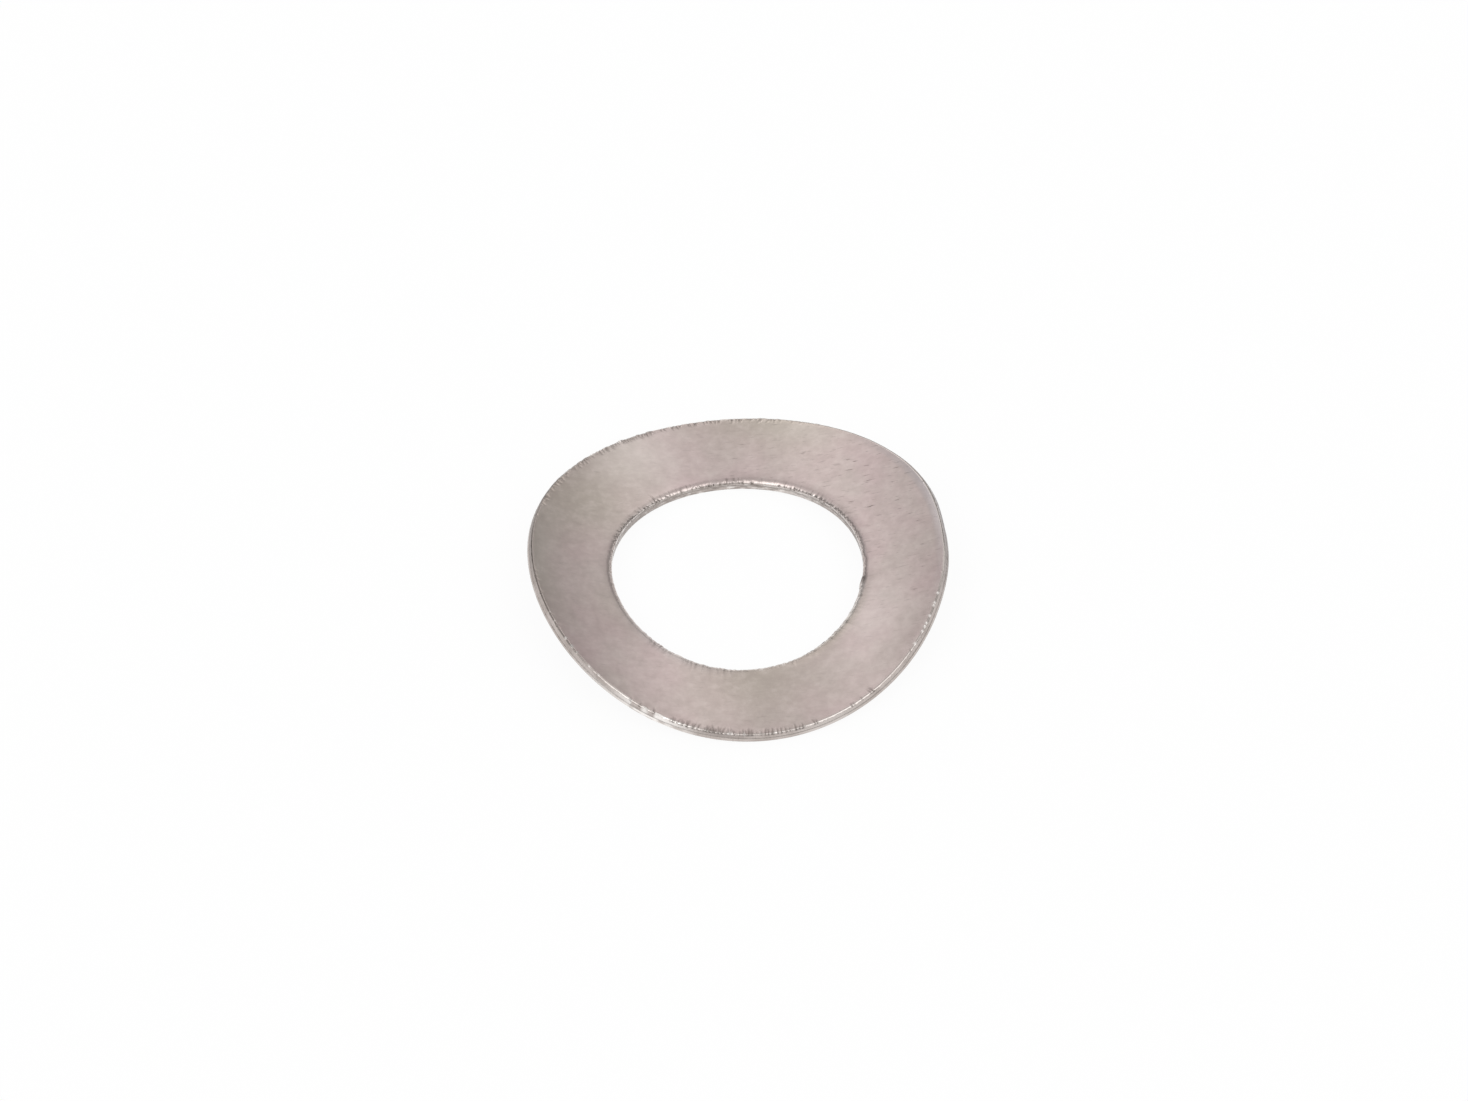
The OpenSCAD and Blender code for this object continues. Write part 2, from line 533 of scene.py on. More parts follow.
# %% Painted glint specks and burr dots along the rim
SPECKLED = [(108, 44, 1.0), (208, 20, 1.0), (262, 20, 1.0)]
SPECK_W = 0.06
SPECK_FROM = 0.9
SPECK_GAIN = 3
SPECK_HEIGHT = 0.03
SPECK_REACH = 0.11
DOTS = 10
DOT_RANGE = (312, 343)
DOT_R = 0.055
specks = np.clip(SPECK_GAIN * (round_noise(1, SPECK_W) - SPECK_FROM), 0, 1) * stretches(SPECKLED)[:, None]
for at in rng.uniform(*DOT_RANGE, DOTS):
    dot = np.exp(-((angle_gap(math.radians(at)) * OUTER_R / DOT_R) ** 2))
    specks = np.maximum(specks, dot[:, None])
heights += SPECK_HEIGHT * specks * near_rim(BURR_REACH)
# Painted glints on the specks and burr dots.
painted_glint_specks = specks * near_rim(SPECK_REACH)
print("Burr dots:", DOTS, "between", DOT_RANGE, "degrees")

# %% Painted highlights of the bore
MARK_W = 0.16
MARK_FROM = 0.4
PALE_MARK = 0.65
EDGE_SPECK_W = 0.06
EDGE_SPECK_FROM = 0.4
EDGE_SPECK_GAIN = 1.5
EDGE_SPECK_POWER = 0.5
NEAR_BORE = [(268, 84, 1.0), (322, 36, 1.0)]
EDGE_GLINT = [(14, 40, 0.7), (148, 38, 0.7)]
on_bore_cut = np.isin(run_name, ["bore_torn", "bore_tear", "bore_burnish"])
wall_marks = round_noise(len(section), MARK_W) * on_bore_cut
pale_marks = PALE_MARK * np.clip(-wall_marks - MARK_FROM, 0, 1)
# Painted glint specks along the near edge of the bore, and a painted glint on its arris at both sides.
edge_noise = round_noise(len(section), EDGE_SPECK_W)
edge_specks = np.clip(EDGE_SPECK_GAIN * (edge_noise - EDGE_SPECK_FROM), 0, 1)
near_bore = stretches(NEAR_BORE)[:, None] * on_bore_top * polish ** EDGE_SPECK_POWER
edge_glint = stretches(EDGE_GLINT)[:, None] * (run_name == "bore_edge")
bright = np.maximum.reduce([
    wall_painted_highlight,
    foot_painted_highlight,
    painted_glint_specks,
    pale_marks,
    edge_specks * near_bore,
])
bright = np.maximum(np.clip(bright, 0, 1), edge_glint)
print("Bright share on average:", round(bright.mean(), 4))

# %% [markdown]
# ## Painted shade and darker stretches
# Painted shade darkens the nicks and the groove of the tear, and more painted shade makes stretches of
# the wall, the facet and the bore's edge darker than the rest. The bore's torn wall also gets random
# dark marks of its own. A shader that finds hollows by itself would put the shade in the wrong places,
# so each mark is given its run of the section and its stretch of the ring, and the strongest mark
# counts.

# %% Painted shade of the rim
# Painted shade that dims the facet's glint along these stretches.
FACET_PAINTED_SHADE = [
    (48, 36, 0.85),
    (150, 40, 0.9),
    (190, 36, 0.9),
    (256, 10, 0.35),
    (303, 12, 0.25),
    (324, 22, 0.4),
    (228, 20, 0.4),
    (355, 25, 0.25),
    (210, 16, 0.3),
    (287, 12, 0.25),
    (334, 12, 0.3),
    (20, 16, 0.6),
]
# Painted shade in broken dashes along the facet.
FACET_SHADE_BREAKS = [(212, 24, 0.7), (268, 18, 0.45)]
BROKEN_W = 0.1
# Painted shade on stretches of the torn wall and of the wall's foot.
RIM_WALL_PAINTED_SHADE = [(45, 35, 0.4), (163, 34, 0.6), (256, 10, 0.35), (348, 20, 0.3)]
FOOT_PAINTED_SHADE = [(348, 22, 0.3)]
# Painted shade in the groove of the tear, left out along the CLEAN_TEAR stretches.
TEAR_PAINTED_SHADE = 0.42
CLEAN_TEAR = [(192, 46, 1.0), (4, 32, 0.8)]


def marked(names, weight):
    """A weight for each angle on the named runs of the section, and nothing elsewhere."""
    return weight[:, None] * np.isin(run_name, names)


broken = np.clip(round_noise(1, BROKEN_W)[:, 0], 0, 1)
tear_share = 1 - np.clip(stretches(CLEAN_TEAR), 0, 1)
# Painted shade in the rim's nicks and on the stretches above; the strongest mark counts.
rim_painted_shade = np.maximum.reduce([
    rim_nick,
    marked(["rim_facet"], stretches(FACET_PAINTED_SHADE) * (1 - specks[:, 0])),
    marked(["rim_facet"], stretches(FACET_SHADE_BREAKS) * broken),
    marked(["rim_torn"], stretches(RIM_WALL_PAINTED_SHADE)),
    marked(["rim_tear"], TEAR_PAINTED_SHADE * tear_share),
    marked(["rim_burnish", "rim_roll"], stretches(FOOT_PAINTED_SHADE)),
])
print("Dull facet at", [at for at, half, weight in FACET_PAINTED_SHADE], "degrees")

# %% Painted shade and dark marks of the bore
# Painted shade on stretches of the bore's wall, and over its shining line at the far side.
BORE_WALL_PAINTED_SHADE = [(12, 36, 0.35), (105, 24, 0.12), (135, 40, 0.42)]
BORE_LINE_PAINTED_SHADE = [(82, 20, 0.45)]
# Random dark marks of the bore's torn wall, a tone of the steel itself.
DARK_MARK = 0.55
# Painted shade in dark specks along the rounded edge of the bore.
SPECKLED_BORE = [(90, 110, 1.0), (268, 84, 0.5), (322, 36, 0.8)]
BORE_SPECK = 0.5
BORE_SPECK_W = 0.05
BORE_SPECK_FROM = 0.6
# Painted shade at the notch by the spur.
SPUR_PAINTED_SHADE = 0.85
SPUR_MARK_AT = -18
SPUR_MARK_HALF = 4
SPUR_MARK_POWER = 0.3
# Painted shade in a thin line just under the bore's arris.
ARRIS_PAINTED_SHADE = 0.3
bore_specks = np.clip(round_noise(1, BORE_SPECK_W)[:, 0] - BORE_SPECK_FROM, 0, 1)
spur_painted_shade = SPUR_PAINTED_SHADE * window(SPUR_MARK_AT, SPUR_MARK_HALF)
bore_shade_and_marks = np.maximum.reduce([
    bore_nick,
    marked(["bore_torn", "bore_burnish"], stretches(BORE_WALL_PAINTED_SHADE)),
    marked(["bore_tear"], np.full(RING_STEPS, TEAR_PAINTED_SHADE)),
    marked(["bore_roll", "bore_edge"], BORE_SPECK * bore_specks * stretches(SPECKLED_BORE)),
    stretches(BORE_LINE_PAINTED_SHADE)[:, None] * on_bore_top * polish,
    spur_painted_shade[:, None] * bore_share ** SPUR_MARK_POWER,
    DARK_MARK * np.clip(wall_marks - MARK_FROM, 0, 1),
])
below_arris = np.flatnonzero(run_name == "bore_burnish")[-1]
grime = np.maximum(rim_painted_shade, bore_shade_and_marks)
grime[:, below_arris] += ARRIS_PAINTED_SHADE
print("Dull bore at", [at for at, half, weight in BORE_WALL_PAINTED_SHADE], "degrees")

# %% [markdown]
# ## Casts, painted shade, painted light and scuffs of the faces
# The tumbled face isn't one tone. Broad patches of it have a greenish cast, some patches get painted
# shade and others a painted highlight, the right-hand end is cooler, and scuffs lie thickest at the
# right. Random clouds would put these anywhere, so soft patches are laid where the photo has them, each
# with an angle, a half width, a weight, a radius and a breadth.

# %% Casts
CASTS = [
    (140, 38, 1.0, 7.5, 2.4),
    (162, 26, 0.45, 8.7, 0.9),
    (267, 42, 1.0, 5.8, 2.5),
    (70, 36, 1.15, 8.9, 1.6),
    (312, 38, 1.1, 5.45, 0.3),
    (180, 26, 0.8, 8.9, 0.9),
    (196, 22, 0.4, 5.6, 1.2),
    (116, 22, 0.35, 8.4, 1.2),
]


def patches(patch_list):
    """The sum of soft patches, each given by its angle, half width, weight, radius and breadth."""
    return sum(
        weight * window(at, half)[:, None] * np.exp(-(((radius - middle) / breadth) ** 2))
        for at, half, weight, middle, breadth in patch_list
    )


cast_share = patches(CASTS)
print("Casts at", [patch[0] for patch in CASTS], "degrees")

# %% Painted shade and painted light patches
PAINTED_SHADES = [
    (298, 24, 0.55, 5.63, 0.12),
    (324, 32, 0.4, 5.605, 0.11),
    (232, 28, 0.17, 8.9, 0.35),
    (212, 30, 0.06, 7.2, 2.4),
    (334, 26, 0.09, 8.7, 1.0),
    (258, 18, 0.06, 8.5, 0.8),
    (130, 22, 0.16, 8.75, 0.45),
    (316, 22, 0.15, 8.5, 0.8),
    (346, 18, 0.08, 8.5, 0.6),
    (256, 18, 0.2, 5.66, 0.13),
    (210, 14, 0.12, 5.9, 0.6),
    (304, 20, 0.1, 5.8, 0.2),
    (305, 18, 0.12, 5.56, 0.06),
    (340, 14, 0.06, 5.8, 0.3),
]
PAINTED_LIGHT_PATCHES = [
    (117, 26, 0.14, 8.2, 1.6),
    (326, 22, 0.6, 5.36, 0.07),
    (324, 24, 0.1, 6.2, 1.0),
    (225, 44, 0.36, 5.465, 0.09),
    (0, 14, 0.15, 5.36, 0.07),
    (172, 28, 0.11, 8.6, 0.8),
    (60, 20, 0.08, 8.4, 0.4),
    (312, 24, 0.12, 5.455, 0.06),
]
# Painted shade and painted highlights on the upper faces.
grime = np.maximum(grime, patches(PAINTED_SHADES) * on_top)
bright = np.maximum(bright, patches(PAINTED_LIGHT_PATCHES) * on_top)
print("Patches:", len(PAINTED_SHADES), "darker and", len(PAINTED_LIGHT_PATCHES), "paler")

# %% Scuffs and the cool end
SCUFF_BASE = 0.25
SCUFFED = [(28, 90, 0.75)]
COOL_EDGE = [(10, 42, 1.0)]
COOL_W = 0.4
COOL_POWER = 0.5
scuff = (SCUFF_BASE + stretches(SCUFFED))[:, None]
cool_face = np.clip(1 - rim_inward / COOL_W, 0, 1) ** COOL_POWER
cool = stretches(COOL_EDGE)[:, None] * np.where(on_rim & on_wall, 1.0, cool_face)
print("Scuffs up to", round(scuff.max(), 2), "and a cool end at", COOL_EDGE[0][0], "degrees")

# %% [markdown]
# ## Nicks along the near edge of the bore
# On the near side the bore's edge faces the camera, and longer nicks show there, running from the arris
# on to the face. They are scattered like the others. They are drawn last, so that the marks above stay
# as they are when these are changed.

# %% Nicks along the near edge of the bore
NEAR_NICKS = 60
NEAR_NICK_DEPTH = 0.025
NEAR_NICK_BASE = 0.02
NEAR_NICKED = [(242, 34, 1.0), (320, 30, 0.8), (285, 20, 0.4)]
NEAR_NICK_WIDTHS = (0.03, 0.065)
NEAR_NICK_LENGTHS = (0.2, 0.5)
NEAR_NICK_PAINTED_SHADE = 0.7
NEAR_SMOOTH = [(330, 28, 0.65)]
near_top = on_bore_top | ((run_name == "upper_face") & (radius < BORE_R + 2 * ROLL_W))
near_nick = scatter_nicks(
    NEAR_NICKS,
    NEAR_NICK_BASE + stretches(NEAR_NICKED),
    BORE_R,
    np.where(near_top | on_bore_wall, np.abs(radius - BORE_R), FAR_OFF),
    NEAR_NICK_WIDTHS,
    NEAR_NICK_LENGTHS,
)
near_nick *= 1 - stretches(NEAR_SMOOTH)[:, None]
heights -= NEAR_NICK_DEPTH * near_nick * near_top
radii += NEAR_NICK_DEPTH * near_nick * on_bore_wall
# Painted shade in these nicks too.
grime = np.maximum(grime, NEAR_NICK_PAINTED_SHADE * near_nick)
print("Nicks on the near edge of the bore:", NEAR_NICKS)

# %% [markdown]
# ## Bending the ring
# The flat ring is laid round a cylinder. Its rim stays square to the sheet, and its bore runs straight
# along its own axis so that a bolt passes, which is the same rule that the CAD model follows. A Simple
# Deform modifier could bend it too, but a formula keeps every spot where the CAD model has it. What
# still stands out of the CAD model's box by a hair is cut back to it.

# %% Bend the ring
BEND_R = 21.1
arc_r = BEND_R - heights
reach = radii * np.cos(angle)[:, None]
side = radii * np.sin(angle)[:, None]
turn_bore = np.arcsin(reach / arc_r)
turn_rim = reach / BEND_R
outward = np.clip((radii - BORE_R) / (OUTER_R - BORE_R), 0, 1)
bend_turn = turn_bore + (turn_rim - turn_bore) * outward
bent = np.stack([arc_r * np.sin(bend_turn), side, BEND_R + HALF_T - arc_r * np.cos(bend_turn)], axis=-1)
flat = np.stack([reach, side, heights], axis=-1)
corners = np.clip(bent.reshape(-1, 3) * MM, np.array(cad_low), np.array(cad_high))
print("Ends bent up by", round(math.degrees(bend_turn.max()), 1), "degrees")

# %% [markdown]
# ## The mesh
# The section is carried round the ring and joined into one closed skin of four-sided faces. The finish
# of each face follows its run: face or cut. The shares worked out above are stored at the points, and
# so is each point's place on the flat ring, so that lines in the finish follow the sheet and not the
# bend.

# %% Build the mesh
spots = len(section)
ring = np.arange(RING_STEPS)[:, None] * spots
ring_next = np.roll(ring, -1, axis=0)
spot = np.arange(spots)[None, :]
spot_next = np.roll(spot, -1, axis=1)
quads = np.stack([ring + spot, ring + spot_next, ring_next + spot_next, ring_next + spot], axis=-1)

mesh = bpy.data.meshes.new("washer")
mesh.from_pydata(corners.tolist(), [], quads.reshape(-1, 4).tolist())
mesh.polygons.foreach_set("material_index", np.tile(run_slot, RING_STEPS))
mesh.shade_smooth()
print("Washer mesh:", len(mesh.vertices), "vertices,", len(mesh.polygons) * 2, "triangles")

# %% Store the shares and place the washer
SHARES = {
    "torn": torn,
    "polish": polish,
    "grime": grime,
    "bright": bright,
    "cast": cast_share,
    "scuff": scuff,
    "cool": cool,
}
for name, values in SHARES.items():
    attribute = mesh.attributes.new(name, "FLOAT", "POINT")
    whole = np.broadcast_to(values, heights.shape)
    attribute.data.foreach_set("value", whole.reshape(-1).astype(np.float32))
blank = mesh.attributes.new("blank_mm", "FLOAT_VECTOR", "POINT")
blank.data.foreach_set("vector", flat.reshape(-1).astype(np.float32))
mesh.update()

washer = bpy.data.objects.new("washer", mesh)
bpy.context.scene.collection.objects.link(washer)
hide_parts("spring_washer")
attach(washer, "root")
print("Stored shares:", list(SHARES))

# %% [markdown]
# ## The tone of the steel
# Tumbled steel is not one grey, but drifts a little between two casts. The flat faces and the cut edges
# are the same steel, so one shader group serves both. A painted texture could hold the drift, but noise
# needs no picture and has no seam. The group reads the place on the flat ring, in millimetres.

# %% Node helpers


def add_node(tree, kind, values=None, **settings):
    """A node with its settings made and its unlinked inputs filled in."""
    node = tree.nodes.new(kind)
    for name, value in settings.items():
        setattr(node, name, value)
    for name, value in (values or {}).items():
        node.inputs[name].default_value = value
    return node


def new_group(name, inputs, outputs):
    """An empty shader group with named sockets, its input node and its output node."""
    group = bpy.data.node_groups.new(name, "ShaderNodeTree")
    for label, kind, value in inputs:
        socket = group.interface.new_socket(label, in_out="INPUT", socket_type=kind)
        if value is not None:
            socket.default_value = value
    for label, kind in outputs:
        group.interface.new_socket(label, in_out="OUTPUT", socket_type=kind)
    return group, group.nodes.new("NodeGroupInput"), group.nodes.new("NodeGroupOutput")


# %% Steel tone group
CLOUD_DETAIL = {"Detail": 3.0, "Roughness": 0.55}
CLOUD_SPREAD = {"From Min": 0.36, "From Max": 0.64}
tone_group, tone_in, tone_out = new_group(
    "steel_tone",
    [
        ("Place", "NodeSocketVector", None),
        ("Patch Size", "NodeSocketFloat", 3.0),
        ("Main Colour", "NodeSocketColor", None),
        ("Cast Colour", "NodeSocketColor", None),
    ],
    [("Colour", "NodeSocketColor")],
)
per_mm = add_node(tone_group, "ShaderNodeMath", {0: 1.0}, operation="DIVIDE")
clouds = add_node(tone_group, "ShaderNodeTexNoise", CLOUD_DETAIL)
spread = add_node(tone_group, "ShaderNodeMapRange", CLOUD_SPREAD)
cast = add_node(tone_group, "ShaderNodeMix", data_type="RGBA")
tone_group.links.new(tone_in.outputs["Patch Size"], per_mm.inputs[1])
tone_group.links.new(per_mm.outputs[0], clouds.inputs["Scale"])
tone_group.links.new(tone_in.outputs["Place"], clouds.inputs["Vector"])
tone_group.links.new(clouds.outputs["Fac"], spread.inputs["Value"])
tone_group.links.new(spread.outputs["Result"], cast.inputs["Factor"])
tone_group.links.new(tone_in.outputs["Main Colour"], cast.inputs["A"])
tone_group.links.new(tone_in.outputs["Cast Colour"], cast.inputs["B"])
tone_group.links.new(cast.outputs["Result"], tone_out.inputs["Colour"])
print("Tone group:", len(tone_group.nodes), "nodes")

# %% [markdown]
# ## Streaks
# The rolling mill and later handling leave fine lines along the sheet, and cutting leaves lines along
# and across the walls. All of them are noise that is stretched one way, so a second group serves both
# finishes. It gives a height for relief, and the dark and the light lines apart, because the photo
# shows more of the one here and more of the other there.

# %% Streak group
LINE_DETAIL = {"Scale": 1.0, "Detail": 3.0, "Roughness": 0.65}
DARK_RANGE = {"From Max": 0.78}
LIGHT_RANGE = {"From Min": 0.5, "From Max": 0.25}
streak_group, streak_in, streak_out = new_group(
    "streaks",
    [
        ("Place", "NodeSocketVector", None),
        ("Streak Size", "NodeSocketVector", (1.0, 1.0, 1.0)),
        ("Turn", "NodeSocketFloat", 0.0),
        ("Dark From", "NodeSocketFloat", 0.5),
    ],
    [("Height", "NodeSocketFloat"), ("Dark Lines", "NodeSocketFloat"), ("Light Lines", "NodeSocketFloat")],
)
swing = add_node(streak_group, "ShaderNodeVectorRotate", rotation_type="Z_AXIS")
squeeze = add_node(streak_group, "ShaderNodeVectorMath", operation="DIVIDE")
lines = add_node(streak_group, "ShaderNodeTexNoise", LINE_DETAIL)
dark = add_node(streak_group, "ShaderNodeMapRange", DARK_RANGE)
light = add_node(streak_group, "ShaderNodeMapRange", LIGHT_RANGE)
streak_group.links.new(streak_in.outputs["Place"], swing.inputs["Vector"])
streak_group.links.new(streak_in.outputs["Turn"], swing.inputs["Angle"])
streak_group.links.new(streak_in.outputs["Dark From"], dark.inputs["From Min"])
streak_group.links.new(swing.outputs["Vector"], squeeze.inputs[0])
streak_group.links.new(streak_in.outputs["Streak Size"], squeeze.inputs[1])
streak_group.links.new(squeeze.outputs[0], lines.inputs["Vector"])
streak_group.links.new(lines.outputs["Fac"], dark.inputs["Value"])
streak_group.links.new(lines.outputs["Fac"], light.inputs["Value"])
streak_group.links.new(lines.outputs["Fac"], streak_out.inputs["Height"])
streak_group.links.new(dark.outputs["Result"], streak_out.inputs["Dark Lines"])
streak_group.links.new(light.outputs["Result"], streak_out.inputs["Light Lines"])
print("Streak group:", len(streak_group.nodes), "nodes")

# %% [markdown]
# ## Tumbled faces
# The faces are sheet steel that was tumbled after stamping: metal all through, satin rather than
# mirror, a warm grey with faint patches, and fine lines along the sheet. The lines are too thin for the
# mesh, so their colour and a Bump node carry them. Tumbling polishes the rounded edge of the bore. Two
# layers are painted light: glints and highlights, and shade in the nicks and darker stretches. The
# colour is built up in layers, each laid over the last by its own mask.

# %% Material helpers
RELIEF_DEPTH = 0.012 * MM


def steel_material(name):
    """A new metal material with its shader, and the place on the flat ring."""
    material = bpy.data.materials.new(name)
    material.use_nodes = True
    tree = material.node_tree
    shader = tree.nodes["Principled BSDF"]
    shader.inputs["Metallic"].default_value = 1.0
    place = add_node(tree, "ShaderNodeAttribute", attribute_name="blank_mm")
    return material, tree, shader, place


def add_group(tree, group, place, values):
    """A group in a material, fed with the place on the ring and its own values."""
    node = add_node(tree, "ShaderNodeGroup", node_tree=group)
    for name, value in values.items():
        node.inputs[name].default_value = value
    tree.links.new(place.outputs["Vector"], node.inputs["Place"])
    return node


def stored(tree, name):
    """The value that the mesh keeps under a name."""
    return add_node(tree, "ShaderNodeAttribute", attribute_name=name).outputs["Fac"]


def lay_over(tree, colour, layers):
    """Lays colours over a first one, each by its mask and at most by its amount."""
    for label, (mask, layer_colour, amount) in layers.items():
        weak = add_node(tree, "ShaderNodeMath", {1: amount}, operation="MULTIPLY")
        mixed = add_node(tree, "ShaderNodeMix", {"B": layer_colour}, data_type="RGBA", label=label)
        tree.links.new(mask, weak.inputs[0])
        tree.links.new(weak.outputs[0], mixed.inputs["Factor"])
        tree.links.new(colour, mixed.inputs["A"])
        colour = mixed.outputs["Result"]
    return colour


def finish_steel(tree, shader, colour, roughness_share, roughness, relief_height, relief_strength):
    """Links the colour, a roughness that runs between two values, and a fine relief to the shader."""
    satin = add_node(tree, "ShaderNodeMapRange", {"To Min": roughness[0], "To Max": roughness[1]})
    relief = add_node(tree, "ShaderNodeBump", {"Strength": relief_strength, "Distance": RELIEF_DEPTH})
    tree.links.new(colour, shader.inputs["Base Color"])
    tree.links.new(roughness_share, satin.inputs["Value"])
    tree.links.new(satin.outputs["Result"], shader.inputs["Roughness"])
    tree.links.new(relief_height, relief.inputs["Height"])
    tree.links.new(relief.outputs["Normal"], shader.inputs["Normal"])


# %% Colours of the steel


def srgb(red, green, blue):
    """A colour as it shows on a screen, 0 to 255, as the linear colour that the shader works with."""
    shares = np.array([red, green, blue]) / 255
    linear = np.where(shares <= 0.04045, shares / 12.92, ((shares + 0.055) / 1.055) ** 2.4)
    return (*linear.tolist(), 1.0)


# The darkest colour is painted shade in nicks, grooves and darker stretches, and the random dark marks of
# the bore's wall; GLINT is the colour of painted highlights.
SHADE_AND_MARK_COLOUR = srgb(92, 82, 76)
DARK_STEEL = srgb(150, 137, 132)
LIGHT_STEEL = srgb(216, 204, 199)
POLISHED = srgb(220, 211, 206)
GLINT = srgb(252, 247, 243)
SCUFF = srgb(92, 82, 77)
OLIVE = srgb(176.5, 166.7, 157.2)
COOL_STEEL = srgb(165, 161, 163)
print("Polished steel in linear light:", [round(value, 3) for value in POLISHED[:3]])

# %% Face material
FACE_RELIEF = 0.04
FACE_ROUGHNESS = (0.31, 0.14)
FACE_TONE = {
    "Patch Size": 2.4,
    "Main Colour": srgb(191, 173.7, 171.6),
    "Cast Colour": srgb(188, 175.2, 170.6),
}
ROLLING_LINES = {"Streak Size": (0.8, 0.12, 0.12)}
HANDLING_LINES = {"Streak Size": (0.65, 0.08, 0.08), "Turn": math.radians(10), "Dark From": 0.605}
MOTTLE = {"Streak Size": (0.45, 0.4, 0.4)}

face_material, tree, shader, place = steel_material("tumbled_face")
tone = add_group(tree, tone_group, place, FACE_TONE)
rolling = add_group(tree, streak_group, place, ROLLING_LINES)
handling = add_group(tree, streak_group, place, HANDLING_LINES)
mottle = add_group(tree, streak_group, place, MOTTLE)
scuffed = add_node(tree, "ShaderNodeMath", operation="MULTIPLY")
tree.links.new(handling.outputs["Dark Lines"], scuffed.inputs[0])
tree.links.new(stored(tree, "scuff"), scuffed.inputs[1])
# The glints layer paints highlights and glints; the last layer paints shade in the nicks, grooves and
# darker stretches.
face_colour = lay_over(tree, tone.outputs["Colour"], {
    "greenish cast": (stored(tree, "cast"), OLIVE, 0.9),
    "dark mottle": (mottle.outputs["Dark Lines"], DARK_STEEL, 0.3),
    "light mottle": (mottle.outputs["Light Lines"], LIGHT_STEEL, 0.3),
    "dark rolling lines": (rolling.outputs["Dark Lines"], DARK_STEEL, 0.04),
    "light rolling lines": (rolling.outputs["Light Lines"], LIGHT_STEEL, 0.03),
    "scuffs": (scuffed.outputs[0], SCUFF, 1.0),
    "cool end": (stored(tree, "cool"), COOL_STEEL, 0.8),
    "polish": (stored(tree, "polish"), POLISHED, 0.8),
    "glints": (stored(tree, "bright"), GLINT, 1.0),
    "grime": (stored(tree, "grime"), SHADE_AND_MARK_COLOUR, 0.9),
})
face_polish = stored(tree, "polish")
finish_steel(tree, shader, face_colour, face_polish, FACE_ROUGHNESS, rolling.outputs["Height"], FACE_RELIEF)
mesh.materials.append(face_material)
print("Face material:", len(tree.nodes), "nodes")

# %% [markdown]
# ## Cut edges
# The wall of a cut is brighter than the face where the punch burnished it, and duller where the steel
# tore. A second material could be made for each, with hard borders between them. Instead the shares
# that are stored with the mesh move the colour and the roughness between the two.

# %% Edge material
STREAK_STEEL = srgb(126, 116, 110)
EDGE_RELIEF = 0.4
EDGE_ROUGHNESS = (0.2, 0.38)
EDGE_TONE = {
    "Patch Size": 0.8,
    "Main Colour": srgb(204, 194, 189),
    "Cast Colour": srgb(186, 176, 170),
}
ALONG_LINES = {"Streak Size": (1.2, 1.2, 0.06)}
UPRIGHT_LINES = {"Streak Size": (0.07, 0.07, 0.6)}

edge_material, tree, shader, place = steel_material("cut_edge")
tone = add_group(tree, tone_group, place, EDGE_TONE)
along = add_group(tree, streak_group, place, ALONG_LINES)
upright = add_group(tree, streak_group, place, UPRIGHT_LINES)
# The glints layer paints highlights and glints; the last layer paints shade in the nicks, grooves and
# darker stretches, with random dark marks on the bore's wall.
edge_colour = lay_over(tree, tone.outputs["Colour"], {
    "dark lines along": (along.outputs["Dark Lines"], DARK_STEEL, 0.6),
    "light lines along": (along.outputs["Light Lines"], POLISHED, 0.6),
    "upright lines": (upright.outputs["Dark Lines"], STREAK_STEEL, 0.35),
    "cool end": (stored(tree, "cool"), COOL_STEEL, 0.7),
    "polish": (stored(tree, "polish"), POLISHED, 0.8),
    "glints": (stored(tree, "bright"), GLINT, 1.0),
    "grime": (stored(tree, "grime"), SHADE_AND_MARK_COLOUR, 0.9),
})
edge_torn = stored(tree, "torn")
finish_steel(tree, shader, edge_colour, edge_torn, EDGE_ROUGHNESS, upright.outputs["Height"], EDGE_RELIEF)
mesh.materials.append(edge_material)
print("Materials:", [material.name for material in mesh.materials])

# %% [markdown]
# ## The light tent
# The photo has the even light of a white tent, and steel shows whatever it mirrors. So the world is
# built as the tent that the washer would mirror: pale at the horizon, a darker band over it, a bright
# wall and a slightly dimmer top. A picture of a studio could light it too, but a few smooth steps by
# height are enough for an even light.

# %% Tent
LOW_LEVEL = 0.9
DARK_LEVEL = 0.25
TENT_LEVEL = 0.95
TOP_LEVEL = 0.76
DARK_RISE = (0.14, 0.3)
TENT_RISE = (0.42, 0.58)
TOP_RISE = (0.72, 0.9)

world = bpy.data.worlds.new("tent")
world.use_nodes = True
bpy.context.scene.world = world
tree = world.node_tree
sky = tree.nodes["Background"]
sky.inputs["Color"].default_value = (1.0, 1.0, 1.0, 1.0)
direction = add_node(tree, "ShaderNodeTexCoord").outputs["Generated"]
heading = add_node(tree, "ShaderNodeSeparateXYZ")
tree.links.new(direction, heading.inputs[0])


def sky_step(value, rise, low, high):
    """A smooth step between two levels."""
    step = add_node(
        tree,
        "ShaderNodeMapRange",
        {"From Min": rise[0], "From Max": rise[1], "To Min": low, "To Max": high},
        interpolation_type="SMOOTHSTEP",
    )
    tree.links.new(value, step.inputs["Value"])
    return step.outputs["Result"]


def add_levels(first, second):
    """The sum of two levels."""
    total = add_node(tree, "ShaderNodeMath", operation="ADD")
    tree.links.new(first, total.inputs[0])
    tree.links.new(second, total.inputs[1])
    return total.outputs[0]


level = sky_step(heading.outputs["Z"], DARK_RISE, LOW_LEVEL, DARK_LEVEL)
level = add_levels(level, sky_step(heading.outputs["Z"], TENT_RISE, 0.0, TENT_LEVEL - DARK_LEVEL))
level = add_levels(level, sky_step(heading.outputs["Z"], TOP_RISE, 0.0, TOP_LEVEL - TENT_LEVEL))
print("Tent levels:", [LOW_LEVEL, DARK_LEVEL, TENT_LEVEL, TOP_LEVEL])

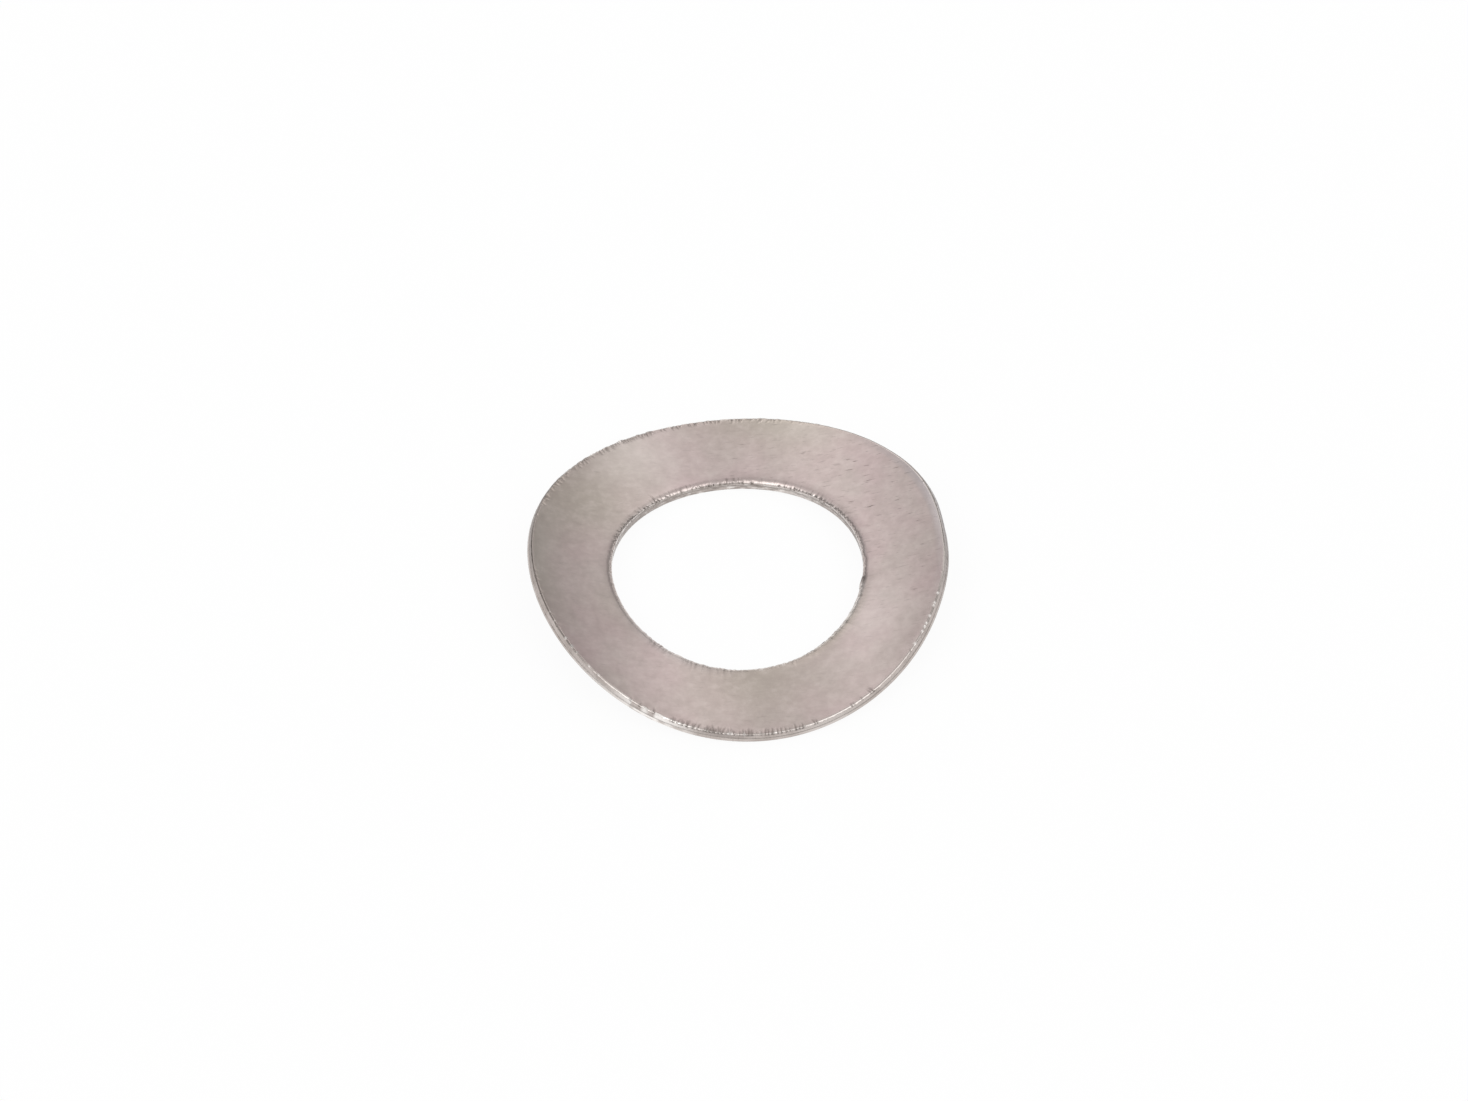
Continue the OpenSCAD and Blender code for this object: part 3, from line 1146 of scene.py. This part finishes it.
# %% [markdown]
# ## Windows of the tent
# Five soft windows brighten parts of the tent. Those at the back show in the bent face as broad, faint
# highlights, and those at the front light the near edges. Area lamps could do the same, but their hard
# borders would show in the steel. Each window is a direction, a half width and a strength that is added
# to the tent's level.

# %% Windows
WINDOWS = {
    "back left window": (Vector((-0.17, 0.84, 0.62)), math.radians(12), 1.3),
    "back right window": (Vector((0.33, 0.54, 0.73)), math.radians(12), 0.72),
    "low back window": (Vector((0.06, 0.97, 0.15)), math.radians(36), 0.5),
    "front left window": (Vector((-0.5, -0.45, 0.74)), math.radians(30), 1.2),
    "front right window": (Vector((0.45, -0.55, 0.7)), math.radians(30), 0.9),
}
for label, (towards, half_width, strength) in WINDOWS.items():
    aimed = {1: towards.normalized()}
    facing = add_node(tree, "ShaderNodeVectorMath", aimed, operation="DOT_PRODUCT", label=label)
    tree.links.new(direction, facing.inputs[0])
    level = add_levels(level, sky_step(facing.outputs["Value"], (math.cos(half_width), 1.0), 0.0, strength))
tree.links.new(level, sky.inputs["Strength"])
print("World windows:", list(WINDOWS))

# %% [markdown]
# ## Floor
# The ground in the photo is almost white, with only a faint shadow. A lit plane alone would come out
# grey. So to the camera and in reflections most of the floor is an even white glow, and the rest is
# matt paper, which takes the washer's soft shadow.

# %% Floor
FLOOR_SIZE = 2.0
PAPER_WHITE = srgb(250, 250, 250)
PAPER_ROUGHNESS = 0.9
GLOW = 1.0
WHITE_SHARE = 0.93
bpy.ops.mesh.primitive_plane_add(size=FLOOR_SIZE)
floor = bpy.context.object
floor.name = "floor"
floor_material = bpy.data.materials.new("pale_floor")
floor_material.use_nodes = True
tree = floor_material.node_tree
paper = tree.nodes["Principled BSDF"]
paper.inputs["Base Color"].default_value = PAPER_WHITE
paper.inputs["Roughness"].default_value = PAPER_ROUGHNESS
paper.inputs["Specular IOR Level"].default_value = 0.0
glow = add_node(tree, "ShaderNodeEmission", {"Strength": GLOW})
path = add_node(tree, "ShaderNodeLightPath")
seen = add_node(tree, "ShaderNodeMath", operation="MAXIMUM")
seen_or_mirrored = add_node(tree, "ShaderNodeMath", operation="MAXIMUM")
white_share = add_node(tree, "ShaderNodeMath", {1: WHITE_SHARE}, operation="MULTIPLY")
floor_mix = add_node(tree, "ShaderNodeMixShader")
tree.links.new(path.outputs["Is Camera Ray"], seen.inputs[0])
tree.links.new(path.outputs["Is Transmission Ray"], seen.inputs[1])
tree.links.new(seen.outputs[0], seen_or_mirrored.inputs[0])
tree.links.new(path.outputs["Is Glossy Ray"], seen_or_mirrored.inputs[1])
tree.links.new(seen_or_mirrored.outputs[0], white_share.inputs[0])
tree.links.new(white_share.outputs[0], floor_mix.inputs["Fac"])
tree.links.new(paper.outputs["BSDF"], floor_mix.inputs[1])
tree.links.new(glow.outputs["Emission"], floor_mix.inputs[2])
tree.links.new(floor_mix.outputs["Shader"], tree.nodes["Material Output"].inputs["Surface"])
floor.data.materials.append(floor_material)

bpy.context.scene.view_settings.view_transform = "Standard"
print("Floor:", FLOOR_SIZE, "m wide")
